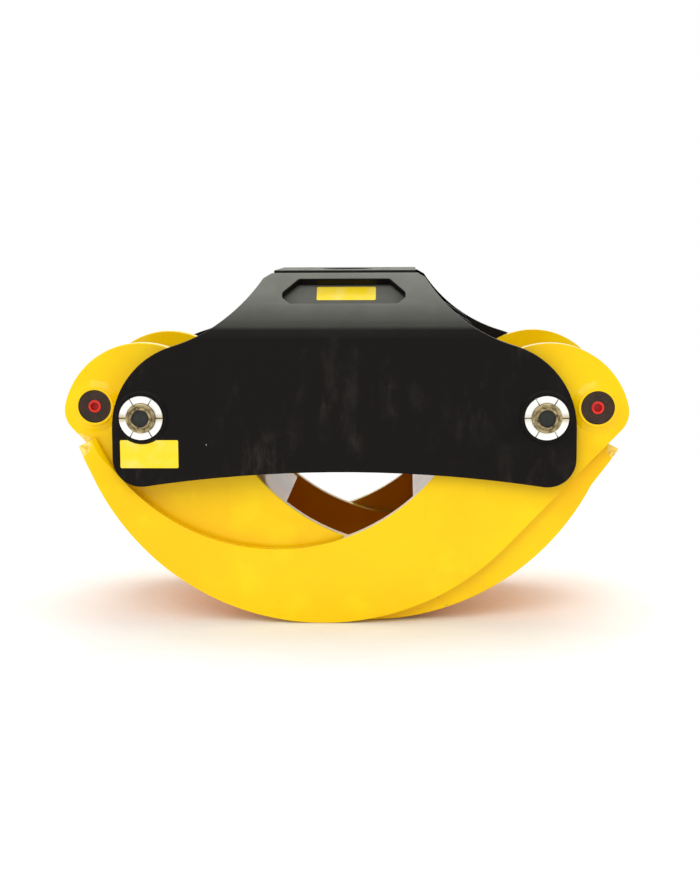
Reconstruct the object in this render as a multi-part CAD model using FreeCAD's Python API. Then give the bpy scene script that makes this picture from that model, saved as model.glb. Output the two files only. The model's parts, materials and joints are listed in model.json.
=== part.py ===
import FreeCAD, Part
import math
import os
from FreeCAD import Vector

# Log grapple with two crossing claws, closed.
# Millimetres and degrees. +X runs across the claws, -Y is the front, +Z is up.
# The origin is the centre of the rotator plate's top face.

# --- layout -------------------------------------------------------------
PIN_SPACING = 600.0          # between the two claw pivots
HEAD_HEIGHT = 215.0          # rotator face above the claw pivots
FRAME_DEPTH = 384.0          # over the outer faces of the frame plates
FRAME_PLATE = 12.0
CLAW_PLATE = 18.0
SIDE_GAP = 9.0               # frame plate to the wide claw
NEST_GAP = 3.0               # wide claw to the narrow claw that passes inside it
WORKING_CLEARANCE = 4.0      # around anything that swings past a fixed plate
RUN_CLEARANCE = 0.05               # radial, shaft in a bush
PRESS_CLEARANCE = 0.02             # radial, pieces that are driven together
CHAMFER_WIDTH = 1.0                # on turned edges

# --- frame plates -------------------------------------------------------
FRAME_PAST_PIN = 45.0        # side edge outboard of the pivot
ARCH_CROWN = 82.0            # lower edge below the pivots, at the middle
ARCH_SPRING = 104.5          # lower edge below the pivots, at the pivots
CORNER_RADIUS = 42.0
SHOULDER_RADIUS = 128.0
SHOULDER_DROP = 17.0         # shoulder arc's centre below the pivots
SHOULDER_END_ANGLE = 73.5          # where the shoulder turns into the neck
NECK_HALF = 122.5
NECK_DROP = 11.0             # its upper corner below the rotator face
HEAD_HALF = 110.5
HEAD_EDGE = 4.0              # rotator face above the frame plates' top edge
BEND_DROP = 80.0             # bend line below the rotator face
BEND_RADIUS = 34.0
LEAN_ANGLE = 45.0

# --- head ---------------------------------------------------------------
ROTATOR_PLATE = 20.0
ROTATOR_HALF = 108.0
BOLT_CIRCLE_DIAMETER = 173.0
BOLT_HOLE_DIAMETER = 17.5             # across
BOLT_COUNT = 4
HOSE_HOLE_DIAMETER = 80.0             # across
SLOT_WIDTH = 184.0
SLOT_LOW = 46.0              # along the slope, from the bend line
SLOT_HIGH = 95.0
SLOT_TOP_CUT = (23.5, 27.0)
SLOT_LOW_CUT = (12.0, 12.0)
SLOT_CORNER_RADIUS = 7.0
TRAY_DEPTH = 5.0
TRAY_WALL = 3.0
CHEEK_PLATE = 14.0
CHEEK_GAP = 180.0            # clear width between the two inner cheeks
CHEEK_DROP = 70.0            # middle of its lower edge below the pivots
CHEEK_SHOULDER = 192.0       # half width at the bend line
CHEEK_AT_PIVOT = 11.0        # its upper edge above the pivots, at the boss
CHEEK_NOTCH_ANGLES = (232.0, 180.0) # angles round the opened cylinder pin where the edge clears it
CHEEK_CORNER_RADIUS = 12.0
WEB_PLATE = 10.0
WEB_X = 96.0
WEB_DROP = 60.0              # its foot below the pivots

# --- claw pivots --------------------------------------------------------
PIN_RADIUS = 25.0
SLEEVE_RADIUS = 32.5
PIN_TAPER = 2.5              # radius lost along each tapered end
SLEEVE_PROUD = 8.0
SLIT_COUNT = 6
SLIT_WIDTH = 1.8
STUD_RADIUS = 16.0
STUD_LENGTH = 9.0
STUD_SOCKET_RADIUS = 12.5
STUD_SOCKET_DEPTH = 2.5
NUT_RADIUS = 22.0
NUT_HEIGHT = 5.0
NUT_RECESS_RADIUS = 18.5
NUT_RECESS_DEPTH = 2.5
WELD_RING_RADIUS = 40.5
WELD_RING_HEIGHT = 3.0
BOSS_RADIUS = 45.0
HUB_RADIUS = 38.0
HUB_END_GAP = 1.0
BUSH_WALL = 5.0

# --- claw shape, about its own pivot ------------------------------------
LOG_RADIUS = 306.8           # inner edge
EDGE_TO_PIN = 108.5          # inner edge's nearest point to its own pivot
EDGE_ANGLE = 165.58          # from the pivot to the inner edge's centre
BAND_WIDTH = 73.6            # outer edge's radius over the inner edge's
BAND_SHIFT_LENGTH = 80.1     # outer edge's centre from the inner edge's
BAND_SHIFT_ANGLE = -29.7
BACK_ANGLE = 46.1            # straight back edge below the lobe
LOBE_OFFSET_X = 5.9          # lobe's centre from the pivot
LOBE_OFFSET_Z = -11.9
LOBE_PAST_EDGE = 3.0         # lobe's circle beyond the inner edge's, at the throat
LOBE_CORNER_RADIUS = 40.0
THROAT_RADIUS = 14.0
TIP_DROP = 34.5              # closed tip's inner corner below the pivots
TIP_FACET_LENGTH = 24.0
TIP_FACET_DEPTH = 5.0
BEVEL_DEPTH = 12.0           # log-side bevel at the tip's end
WIDE_BEVEL_LENGTH = 73.0
WIDE_BEVEL_WIDTH = 13.0
NARROW_BEVEL_LENGTH = 105.0
NARROW_BEVEL_WIDTH = 28.0
FLARE_ANGLE = 10.0           # stretch of the outer edge that runs out to the tip
WIDE_FLARE_LENGTH = 4.0      # tip's outer corner beyond the outer edge's curve
NARROW_FLARE_LENGTH = 18.0

# --- claw cross members -------------------------------------------------
LINING_PLATE = 10.0
LINING_RECESS = 2.0
LINING_TOP_ANGLE = -30.0           # angles about the inner edge's centre
WIDE_LINING_END_ANGLE = -48.3
NARROW_LINING_END_ANGLE = -51.5
SHELL_PLATE = 10.0
SHELL_RECESS = 8.0
SHELL_RUN = 190.0            # straight part below the lobe
BACK_TOP_ANGLE = -40.0             # angles about the passing claw's inner edge
BACK_END_ANGLE = -72.0
BLADE_LENGTH = 112.0
BLADE_PLATE = 16.0
RIB_PLATE = 14.0
RIB_INNER_FACE = 50.0
RIB_SHELL_SEAT_ANGLE = 12.0        # degrees of the narrow claw's shell under each rib
RIB_EYE_ANGLES = (-50.0, 100.0)  # angles where the rib's edges meet its eye

# --- cylinder -----------------------------------------------------------
ARM_RADIUS = 78.0            # cylinder pin from the claw pivot
ARM_ANGLE = 9.5              # above level when closed
OPENING_ANGLE = 120.0
COLLAR_WALL = 4.0
COLLAR_HEIGHT = 7.0
COLLAR_WELD = 10.0           # width of the weld round the collar
COLLAR_WELD_RISE = 4.5
CYL_PIN_PROUD = 5.0
PLUG_RADIUS = 9.5
PLUG_BORE = 6.3
PLUG_LENGTH = 14.0
PLUG_PROUD = 1.5
BORE_RADIUS = 40.0
BARREL_WALL = 7.5
BARREL_START = 60.0          # bottom of the bore from the base pin
EYE_RADIUS = 43.0
EYE_HALF_WIDTH = 44.0
EYE_BUSH_WALL = 4.0
BASE_CAP = 18.0
BASE_NECK_RADIUS = 41.0      # between the base eye and the cap
PISTON_LENGTH = 45.0
PISTON_END_GAP = 3.0
PISTON_CLEARANCE = 0.4
SEAL_WIDTH = 8.0
SEAL_DEPTH = 4.0
GLAND_LENGTH = 38.0
GLAND_FLANGE = 12.0
GLAND_PISTON_GAP = 10.0
ROD_RADIUS = 25.0
ROD_SPIGOT_RADIUS = 17.0
ROD_NUT_RADIUS = 25.0
ROD_NUT_HEIGHT = 14.0
WIPER_WIDTH = 6.0
WIPER_DEPTH = 4.0
WIPER_LIP = 2.0
PORT_RADIUS = 15.0
PORT_HEIGHT = 18.0
PORT_HOLE_RADIUS = 8.4
PORT_SEAT_RADIUS = 9.0       # flat milled on the barrel under each boss's bore
PORT_SEAT_DEPTH = 1.5
PORT_INSET = 8.5             # base port's axis from the bottom of the bore

# --- synchronising link -------------------------------------------------
LINK_ARM = 25.0              # link pin from the claw pivot
LINK_PLATE = 10.0
LINK_Y = 66.0                # link's face nearest the middle
LINK_HALF_HEIGHT = 13.0
LINK_EYE_RADIUS = 19.0
LINK_PIN_RADIUS = 9.0
LINK_PIN_COLLAR = 12.0
LINK_SIDE_PLAY = 0.5
LINK_FREE_CLEARANCE = 4.0    # round the pin at the link's far end

# --- derived ------------------------------------------------------------
PIN_X = PIN_SPACING / 2
PIN_Z = -HEAD_HEIGHT
FRAME_OUT = FRAME_DEPTH / 2
FRAME_IN = FRAME_OUT - FRAME_PLATE
CHEEK_IN = CHEEK_GAP / 2
CHEEK_OUT = CHEEK_IN + CHEEK_PLATE
WIDE_OUT = FRAME_IN - SIDE_GAP
WIDE_IN = WIDE_OUT - CLAW_PLATE
NARROW_OUT = WIDE_IN - NEST_GAP
NARROW_IN = NARROW_OUT - CLAW_PLATE
RIB_OUT = RIB_INNER_FACE + RIB_PLATE
PLATE_TOP = HEAD_HEIGHT - HEAD_EDGE
NECK_HEIGHT = HEAD_HEIGHT - NECK_DROP
BEND_HEIGHT = HEAD_HEIGHT - BEND_DROP
FRAME_HALF = PIN_X + FRAME_PAST_PIN
HUB_IN = CHEEK_OUT + HUB_END_GAP
HUB_OUT = FRAME_IN - HUB_END_GAP
TOE_DROP = ARCH_SPRING + FRAME_PAST_PIN * 2 * (ARCH_SPRING - ARCH_CROWN) / PIN_X
BARREL_RADIUS = BORE_RADIUS + BARREL_WALL
BUSH_RADIUS = PIN_RADIUS + RUN_CLEARANCE + EYE_BUSH_WALL
RIB_EYE = EYE_RADIUS - 2 * WORKING_CLEARANCE


# --- plane geometry in X and Z ------------------------------------------
FULL_TURN = 360.0


def polar(centre, radius, angle):
    turn = math.radians(angle)
    return (centre[0] + radius * math.cos(turn), centre[1] + radius * math.sin(turn))


def direction(centre, point):
    return math.degrees(math.atan2(point[1] - centre[1], point[0] - centre[0]))


def distance(a, b):
    return math.hypot(a[0] - b[0], a[1] - b[1])


def circles_meet(centre_a, radius_a, centre_b, radius_b, side):
    """One of the two points where circles meet; side is +1 or -1, left or right of a to b."""
    span = distance(centre_a, centre_b)
    along = (radius_a ** 2 - radius_b ** 2 + span ** 2) / (2 * span)
    across = math.sqrt(radius_a ** 2 - along ** 2)
    heading = direction(centre_a, centre_b)
    return polar(polar(centre_a, along, heading), across, heading + 90 * side)


def ray_meets_circle(start, angle, centre, radius):
    """Where a ray from inside a circle leaves it."""
    turn = math.radians(angle)
    gap = (start[0] - centre[0], start[1] - centre[1])
    along = gap[0] * math.cos(turn) + gap[1] * math.sin(turn)
    reach = math.sqrt(along ** 2 - gap[0] ** 2 - gap[1] ** 2 + radius ** 2) - along
    return polar(start, reach, angle)


ORIGIN = (0.0, 0.0)
ARM_PIN = polar(ORIGIN, ARM_RADIUS, ARM_ANGLE)
INNER_CENTRE = polar(ORIGIN, LOG_RADIUS + EDGE_TO_PIN, EDGE_ANGLE)
OUTER_CENTRE = polar(INNER_CENTRE, BAND_SHIFT_LENGTH, BAND_SHIFT_ANGLE)
OUTER_RADIUS = LOG_RADIUS + BAND_WIDTH
LOBE_CENTRE = (LOBE_OFFSET_X, LOBE_OFFSET_Z)
LOBE_RADIUS = distance(LOBE_CENTRE, INNER_CENTRE) - LOG_RADIUS + LOBE_PAST_EDGE
PASSING_CENTRE = (-PIN_SPACING - INNER_CENTRE[0], INNER_CENTRE[1])
TIP_ANGLE = 180 + math.degrees(math.asin((TIP_DROP + INNER_CENTRE[1]) / LOG_RADIUS))
TIP_INNER = polar(INNER_CENTRE, LOG_RADIUS, TIP_ANGLE)
TIP_OUTER = ray_meets_circle(INNER_CENTRE, TIP_ANGLE, OUTER_CENTRE, OUTER_RADIUS)
BLADE_START = TIP_ANGLE + math.degrees(BLADE_LENGTH / LOG_RADIUS)
LINING_BACK = LOG_RADIUS + LINING_RECESS + LINING_PLATE
SHELL_OUT = OUTER_RADIUS - SHELL_RECESS
SHELL_IN = SHELL_OUT - SHELL_PLATE
SHELL_TOP_ANGLE = BACK_ANGLE - 90           # where the shell's curve meets its straight run
BACK_OUT = LOG_RADIUS - 3 * WORKING_CLEARANCE
BACK_IN = BACK_OUT - SHELL_PLATE
RIGHT_LINK_PIN = polar(ORIGIN, LINK_ARM, -OPENING_ANGLE / 2)
LEFT_LINK_PIN = polar(ORIGIN, LINK_ARM, 180 - OPENING_ANGLE / 2)

PIN_TO_PIN_CLOSED = PIN_SPACING + 2 * ARM_PIN[0]
PIN_TO_PIN_OPEN = PIN_SPACING + 2 * polar(ORIGIN, ARM_RADIUS, ARM_ANGLE + OPENING_ANGLE)[0]
STROKE = PIN_TO_PIN_CLOSED - PIN_TO_PIN_OPEN
PISTON_BACK = BARREL_START + PISTON_END_GAP + ROD_NUT_HEIGHT + STROKE
PISTON_FRONT = PISTON_BACK + PISTON_LENGTH
PISTON_MIDDLE = (PISTON_BACK + PISTON_FRONT) / 2
GLAND_START = PISTON_FRONT + GLAND_PISTON_GAP
BARREL_END = GLAND_START + GLAND_LENGTH
GLAND_END = BARREL_END + GLAND_FLANGE
PORT_X = (BARREL_START + PORT_INSET, GLAND_START - GLAND_PISTON_GAP / 2)


# --- wires and solids ---------------------------------------------------
NEAR_ZERO = 1e-6


def at(point, y=0.0):
    return Vector(point[0], y, point[1])


def line(a, b):
    return Part.makeLine(at(a), at(b))


def arc(centre, radius, start, end):
    """Arc from one angle to another, in degrees, either way round."""
    points = [at(polar(centre, radius, turn)) for turn in (start, (start + end) / 2, end)]
    return Part.Arc(*points).toShape()


def at_start(edge):
    corner = edge.valueAt(edge.FirstParameter)
    return corner.x, corner.z


def at_end(edge):
    corner = edge.valueAt(edge.LastParameter)
    return corner.x, corner.z


def path(points):
    return [line(a, b) for a, b in zip(points, points[1:])]


def polygon(points):
    corners = [at(point) for point in points]
    return Part.makePolygon(corners + corners[:1])


def prism(wire, y_start, y_end):
    face = Part.Face(wire)
    face.translate(Vector(0, y_start, 0))
    return face.extrude(Vector(0, y_end - y_start, 0))


def runs_along_y(edge):
    run = edge.tangentAt(edge.FirstParameter)
    return len(edge.Vertexes) == 2 and abs(run.x) + abs(run.z) < NEAR_ZERO


def nearest_edge(edges, point):
    return min(edges, key=lambda edge: distance((edge.CenterOfMass.x, edge.CenterOfMass.z), point))


def round_edges(solid, radius, points):
    """Rounds the edges parallel to Y that pass nearest the given points."""
    straight = [edge for edge in solid.Edges if runs_along_y(edge)]
    return solid.makeFillet(radius, [nearest_edge(straight, point) for point in points])


def bar(radius, y_start, y_end, centre=ORIGIN):
    return Part.makeCylinder(radius, y_end - y_start, at(centre, y_start), Vector(0, 1, 0))


def upright(radius, x, y, low, high):
    return Part.makeCylinder(radius, high - low, Vector(x, y, low), Vector(0, 0, 1))


def ring(outer, inner, y_start, y_end, centre=ORIGIN):
    return bar(outer, y_start, y_end, centre).cut(bar(inner, y_start, y_end, centre))


def turned_y(profile, centre=ORIGIN):
    """Solid turned about a line parallel to Y; the profile is pairs of radius and y."""
    corners = [Vector(centre[0] + radius, y, centre[1]) for radius, y in profile]
    face = Part.Face(Part.makePolygon(corners + corners[:1]))
    return face.revolve(at(centre), Vector(0, 1, 0), 360)


def turned_x(profile):
    """Solid turned about the cylinder's own axis; the profile is pairs of x and radius."""
    corners = [Vector(x, 0, radius) for x, radius in profile]
    face = Part.Face(Part.makePolygon(corners + corners[:1]))
    return face.revolve(Vector(0, 0, 0), Vector(1, 0, 0), 360)


def band(centre, inner, outer, start, end, y_start, y_end):
    """Curved plate between two radii and two angles."""
    edges = [arc(centre, inner, start, end),
             line(polar(centre, inner, end), polar(centre, outer, end)),
             arc(centre, outer, end, start),
             line(polar(centre, outer, start), polar(centre, inner, start))]
    return prism(Part.Wire(edges), y_start, y_end)


def across(wire, half_width):
    return prism(wire, -half_width, half_width)


def front_of(shape):
    return shape.mirror(Vector(0, 0, 0), Vector(0, 1, 0))


def left_of(shape):
    return shape.mirror(Vector(0, 0, 0), Vector(1, 0, 0))


def at_pivot(shape):
    """Moves a shape drawn about the right pivot into the grapple's frame."""
    moved = shape.copy()
    moved.translate(Vector(PIN_X, 0, PIN_Z))
    return moved


def from_pivot_line(shape):
    """Moves a shape drawn about the middle of the pivot line into the grapple's frame."""
    moved = shape.copy()
    moved.translate(Vector(0, 0, PIN_Z))
    return moved


def both_ends(shape):
    return Part.makeCompound([shape, front_of(shape)])


PARTS = {}


def keep(name, shape):
    PARTS[name] = shape


# --- frame --------------------------------------------------------------
def shoulder_and_neck(side):
    """Edge from the side of the frame plate over the shoulder and up the concave neck."""
    centre = (FRAME_HALF - SHOULDER_RADIUS, -SHOULDER_DROP)
    start = polar(centre, SHOULDER_RADIUS, SHOULDER_END_ANGLE)
    neck = (NECK_HALF, NECK_HEIGHT)
    turn = math.radians(SHOULDER_END_ANGLE)
    reach = (neck[0] - start[0]) * math.cos(turn) + (neck[1] - start[1]) * math.sin(turn)
    radius = distance(start, neck) ** 2 / (2 * reach)
    sweep_centre = polar(start, radius, SHOULDER_END_ANGLE)
    first = SHOULDER_END_ANGLE + 180
    last = direction(sweep_centre, neck) % FULL_TURN
    shoulder = arc(centre, SHOULDER_RADIUS, 0, SHOULDER_END_ANGLE)
    neck_sweep = arc(sweep_centre, radius, first, last)
    head = line(neck, (HEAD_HALF, PLATE_TOP))
    edges = [shoulder, neck_sweep, head]
    if side < 0:
        edges = [edge.mirror(Vector(0, 0, 0), Vector(1, 0, 0)) for edge in edges]
    return edges


def frame_outline():
    arch = Part.Arc(at((-PIN_X, -ARCH_SPRING)), at((0, -ARCH_CROWN)), at((PIN_X, -ARCH_SPRING))).toShape()
    edges = [arch]
    for side in (1, -1):
        corner = (side * FRAME_HALF, -TOE_DROP)
        edges.append(line((side * PIN_X, -ARCH_SPRING), corner))
        edges.append(line(corner, (side * FRAME_HALF, -SHOULDER_DROP)))
        edges.extend(shoulder_and_neck(side))
    edges.append(line((HEAD_HALF, PLATE_TOP), (-HEAD_HALF, PLATE_TOP)))
    return Part.Wire(Part.__sortEdges__(edges))


def bent_strip():
    """The rear frame plate's section in Y and Z, as wide as the whole frame."""
    half_turn = math.radians(LEAN_ANGLE / 2)
    start = BEND_HEIGHT - BEND_RADIUS * math.tan(half_turn)
    centre = (FRAME_OUT - BEND_RADIUS, start)

    def on_bend(radius, angle):
        y, z = polar(centre, radius, angle)
        return Vector(-FRAME_HALF, y, z)

    def up_slope(point):
        turn = math.radians(LEAN_ANGLE)
        return point + Vector(0, -HEAD_HEIGHT * math.sin(turn), HEAD_HEIGHT * math.cos(turn))

    inner = BEND_RADIUS - FRAME_PLATE
    foot = -ARCH_SPRING - CORNER_RADIUS
    outer_end = on_bend(BEND_RADIUS, LEAN_ANGLE)
    inner_end = on_bend(inner, LEAN_ANGLE)
    edges = [Part.makeLine(Vector(-FRAME_HALF, FRAME_OUT, foot), on_bend(BEND_RADIUS, 0)),
             Part.Arc(on_bend(BEND_RADIUS, 0), on_bend(BEND_RADIUS, LEAN_ANGLE / 2), outer_end).toShape(),
             Part.makeLine(outer_end, up_slope(outer_end)),
             Part.makeLine(up_slope(outer_end), up_slope(inner_end)),
             Part.makeLine(up_slope(inner_end), inner_end),
             Part.Arc(inner_end, on_bend(inner, LEAN_ANGLE / 2), on_bend(inner, 0)).toShape(),
             Part.makeLine(on_bend(inner, 0), Vector(-FRAME_HALF, FRAME_IN, foot)),
             Part.makeLine(Vector(-FRAME_HALF, FRAME_IN, foot), Vector(-FRAME_HALF, FRAME_OUT, foot))]
    face = Part.Face(Part.Wire(edges))
    return face.extrude(Vector(2 * FRAME_HALF, 0, 0))


def on_slope(shape):
    """Turns a shape drawn upright on the bend line so that it lies on the rear slope."""
    laid = shape.copy()
    laid.rotate(Vector(0, 0, 0), Vector(1, 0, 0), LEAN_ANGLE)
    laid.translate(Vector(0, FRAME_OUT, BEND_HEIGHT))
    return laid


def slot_outline(grow):
    half = SLOT_WIDTH / 2 + grow
    low = SLOT_LOW - grow
    high = SLOT_HIGH + grow
    right = [(half - SLOT_LOW_CUT[0], low), (half, low + SLOT_LOW_CUT[1]),
             (half, high - SLOT_TOP_CUT[1]), (half - SLOT_TOP_CUT[0], high)]
    left = [(-x, z) for x, z in reversed(right)]
    return right + left


def slot_prism(grow, y_start, y_end):
    corners = slot_outline(grow)
    return round_edges(prism(polygon(corners), y_start, y_end), SLOT_CORNER_RADIUS, corners)


def frame_plate():
    """Rear plate: a bent strip trimmed to the outline, with pivot holes and the head slot."""
    outline = prism(frame_outline(), 0, FRAME_DEPTH)
    outline = round_edges(outline, CORNER_RADIUS, [(FRAME_HALF, -TOE_DROP), (-FRAME_HALF, -TOE_DROP)])
    plate = bent_strip().common(outline)
    for x in (PIN_X, -PIN_X):
        plate = plate.cut(bar(SLEEVE_RADIUS + PRESS_CLEARANCE, 0, FRAME_DEPTH, (x, 0)))
    slot = on_slope(slot_prism(0, -2 * FRAME_PLATE, FRAME_PLATE))
    return plate.cut(slot)


def slot_tray():
    floor = FRAME_PLATE + TRAY_DEPTH
    outside = slot_prism(TRAY_DEPTH + TRAY_WALL, -floor - TRAY_WALL, -FRAME_PLATE)
    inside = slot_prism(TRAY_DEPTH, -floor, -FRAME_PLATE)
    return on_slope(outside.cut(inside)).cut(rotator_plate())


def rotator_plate():
    top = HEAD_HEIGHT
    low = HEAD_HEIGHT - ROTATOR_PLATE
    wall = FRAME_PLATE / math.cos(math.radians(LEAN_ANGLE))
    slope = math.tan(math.radians(LEAN_ANGLE))
    depth_low = FRAME_OUT - wall - (low - BEND_HEIGHT) * slope
    depth_high = FRAME_OUT - wall - (PLATE_TOP - BEND_HEIGHT) * slope
    section = [(depth_low, low), (depth_high, PLATE_TOP), (depth_high, top),
               (-depth_high, top), (-depth_high, PLATE_TOP), (-depth_low, low)]
    corners = [Vector(-ROTATOR_HALF, y, z) for y, z in section]
    face = Part.Face(Part.makePolygon(corners + corners[:1]))
    plate = face.extrude(Vector(2 * ROTATOR_HALF, 0, 0))
    plate = plate.cut(upright(HOSE_HOLE_DIAMETER / 2, 0, 0, low, top))
    for number in range(BOLT_COUNT):
        x, y = polar(ORIGIN, BOLT_CIRCLE_DIAMETER / 2, (number + 0.5) * 360 / BOLT_COUNT)
        plate = plate.cut(upright(BOLT_HOLE_DIAMETER / 2, x, y, low, top))
    return plate


def cheek_outline():
    """Right half of the inner cheek, from the middle of its lower edge to its top."""
    limit = LOG_RADIUS - 2 * WORKING_CLEARANCE
    centre = (PIN_X + INNER_CENTRE[0], INNER_CENTRE[1])
    swing_top = polar((PIN_X, 0), ARM_RADIUS, ARM_ANGLE + OPENING_ANGLE)
    clear = PIN_RADIUS + 2 * WORKING_CLEARANCE

    def on_limit(z):
        return (centre[0] + math.sqrt(limit ** 2 - (z - centre[1]) ** 2), z)

    arm_low = -BOSS_RADIUS + 2 * WORKING_CLEARANCE
    top = HEAD_HEIGHT - ROTATOR_PLATE
    return [(0, -CHEEK_DROP), on_limit(-CHEEK_DROP), on_limit(arm_low), (PIN_X, -BOSS_RADIUS),
            (PIN_X, CHEEK_AT_PIVOT), polar(swing_top, clear, CHEEK_NOTCH_ANGLES[0]),
            polar(swing_top, clear, CHEEK_NOTCH_ANGLES[1]), (CHEEK_SHOULDER, BEND_HEIGHT),
            (HEAD_HALF - FRAME_PLATE, top), (0, top)]


def inner_cheek():
    right = cheek_outline()
    left = [(-x, z) for x, z in reversed(right[1:-1])]
    cheek = prism(polygon(right[:-1] + left), CHEEK_IN, CHEEK_OUT)
    corners = [point for number in (1, 2, 5, 7) for point in (right[number], left[-number])]
    cheek = round_edges(cheek, CHEEK_CORNER_RADIUS, corners)
    for x in (PIN_X, -PIN_X):
        cheek = cheek.fuse(bar(BOSS_RADIUS, CHEEK_IN, CHEEK_OUT, (x, 0)))
    for x in (PIN_X, -PIN_X):
        cheek = cheek.cut(bar(SLEEVE_RADIUS + PRESS_CLEARANCE, CHEEK_IN, CHEEK_OUT, (x, 0)))
    return largest(cheek.removeSplitter().cut(tray_space(FRAME_PLATE + TRAY_DEPTH + TRAY_WALL)))


def tray_space(depth):
    """Room below the head slot, square to the slope and as wide as the tray."""
    return on_slope(slot_prism(TRAY_DEPTH + TRAY_WALL, -depth, 0))


def largest(shape):
    return max(shape.Solids, key=lambda solid: solid.Volume)


def web():
    """Upright plate from the cheek out to the frame plate's inner face and the tray."""
    block = Part.makeBox(WEB_PLATE, FRAME_IN - CHEEK_OUT, WEB_DROP + HEAD_HEIGHT - ROTATOR_PLATE,
                         Vector(WEB_X - WEB_PLATE / 2, CHEEK_OUT, -WEB_DROP))
    return largest(block.cut(bent_strip()).cut(tray_space(4 * FRAME_PLATE)))


def build_frame():
    plate = from_pivot_line(frame_plate())
    keep("frame_rear_plate", plate)
    keep("frame_front_plate", front_of(plate))
    keep("rotator_plate", from_pivot_line(rotator_plate()))
    tray = from_pivot_line(slot_tray())
    keep("slot_tray_rear", tray)
    keep("slot_tray_front", front_of(tray))
    cheek = from_pivot_line(inner_cheek())
    keep("inner_cheek_rear", cheek)
    keep("inner_cheek_front", front_of(cheek))
    right_web = from_pivot_line(web())
    keep("web_right_rear", right_web)
    keep("web_right_front", front_of(right_web))
    keep("web_left_rear", left_of(right_web))
    keep("web_left_front", front_of(left_of(right_web)))


# --- claw pivots --------------------------------------------------------
def pivot_pin():
    """Stub pin: plain in the middle, tapered in both sleeves, with a threaded end at each side."""
    inner_end = CHEEK_IN - NUT_HEIGHT / 2
    outer_end = FRAME_OUT + SLEEVE_PROUD - NUT_HEIGHT / 2
    small = PIN_RADIUS - PIN_TAPER
    stud_end = outer_end + STUD_LENGTH
    socket = stud_end - STUD_SOCKET_DEPTH
    return turned_y([(0, inner_end - STUD_LENGTH), (STUD_RADIUS, inner_end - STUD_LENGTH),
                     (STUD_RADIUS, inner_end), (small, inner_end), (PIN_RADIUS, CHEEK_OUT),
                     (PIN_RADIUS, FRAME_IN), (small, outer_end), (STUD_RADIUS, outer_end),
                     (STUD_RADIUS, stud_end - CHAMFER_WIDTH), (STUD_RADIUS - CHAMFER_WIDTH, stud_end),
                     (STUD_SOCKET_RADIUS, stud_end), (STUD_SOCKET_RADIUS, socket), (0, socket)])


def expansion_sleeve(wide_end, narrow_end, free_end):
    """Slit sleeve with a tapered bore; its free end stands clear of the plate it grips."""
    wide = PIN_RADIUS + PRESS_CLEARANCE
    narrow = PIN_RADIUS - PIN_TAPER + PRESS_CLEARANCE
    sleeve = turned_y([(wide, wide_end), (SLEEVE_RADIUS, wide_end), (SLEEVE_RADIUS, free_end),
                       (narrow, free_end), (narrow, narrow_end)])
    middle = (wide_end + free_end) / 2
    reach = 2 * abs(free_end - middle)
    for number in range(SLIT_COUNT):
        slit = Part.makeBox(SLEEVE_RADIUS * 2, reach, SLIT_WIDTH,
                            Vector(0, min(middle, 2 * free_end - middle), -SLIT_WIDTH / 2))
        slit.rotate(Vector(0, 0, 0), Vector(0, 1, 0), number * 360 / SLIT_COUNT)
        sleeve = sleeve.cut(slit)
    return sleeve


def round_nut(seat, outward):
    """Round nut on the threaded end, with a shallow recess in its free face."""
    free = seat + outward * NUT_HEIGHT
    floor = free - outward * NUT_RECESS_DEPTH
    bore = STUD_RADIUS + PRESS_CLEARANCE
    return turned_y([(bore, seat), (NUT_RADIUS, seat), (NUT_RADIUS, free - outward * CHAMFER_WIDTH),
                     (NUT_RADIUS - CHAMFER_WIDTH, free), (NUT_RECESS_RADIUS, free),
                     (NUT_RECESS_RADIUS, floor), (bore, floor)])


def weld_ring():
    """Weld round each sleeve hole on the frame plate."""
    return turned_y([(SLEEVE_RADIUS + PRESS_CLEARANCE, FRAME_OUT), (WELD_RING_RADIUS, FRAME_OUT),
                     (WELD_RING_RADIUS - WELD_RING_HEIGHT, FRAME_OUT + WELD_RING_HEIGHT),
                     (SLEEVE_RADIUS + PRESS_CLEARANCE, FRAME_OUT + WELD_RING_HEIGHT)])


def four_corners(shape):
    right = at_pivot(shape)
    return Part.makeCompound([right, front_of(right), left_of(right), front_of(left_of(right))])


def build_pivots():
    pin = at_pivot(pivot_pin())
    keep("pivot_pin_right_rear", pin)
    keep("pivot_pin_right_front", front_of(pin))
    keep("pivot_pin_left_rear", left_of(pin))
    keep("pivot_pin_left_front", front_of(left_of(pin)))
    inner_small = CHEEK_IN - NUT_HEIGHT / 2
    outer_small = FRAME_OUT + SLEEVE_PROUD - NUT_HEIGHT / 2
    outer_face = FRAME_OUT + SLEEVE_PROUD
    keep("outer_expansion_sleeves", four_corners(expansion_sleeve(FRAME_IN, outer_small, outer_face)))
    keep("inner_expansion_sleeves", four_corners(expansion_sleeve(CHEEK_OUT, inner_small, inner_small)))
    keep("outer_pin_nuts", four_corners(round_nut(outer_face, 1)))
    keep("inner_pin_nuts", four_corners(round_nut(inner_small, -1)))
    keep("pivot_weld_rings", four_corners(weld_ring()))


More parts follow.
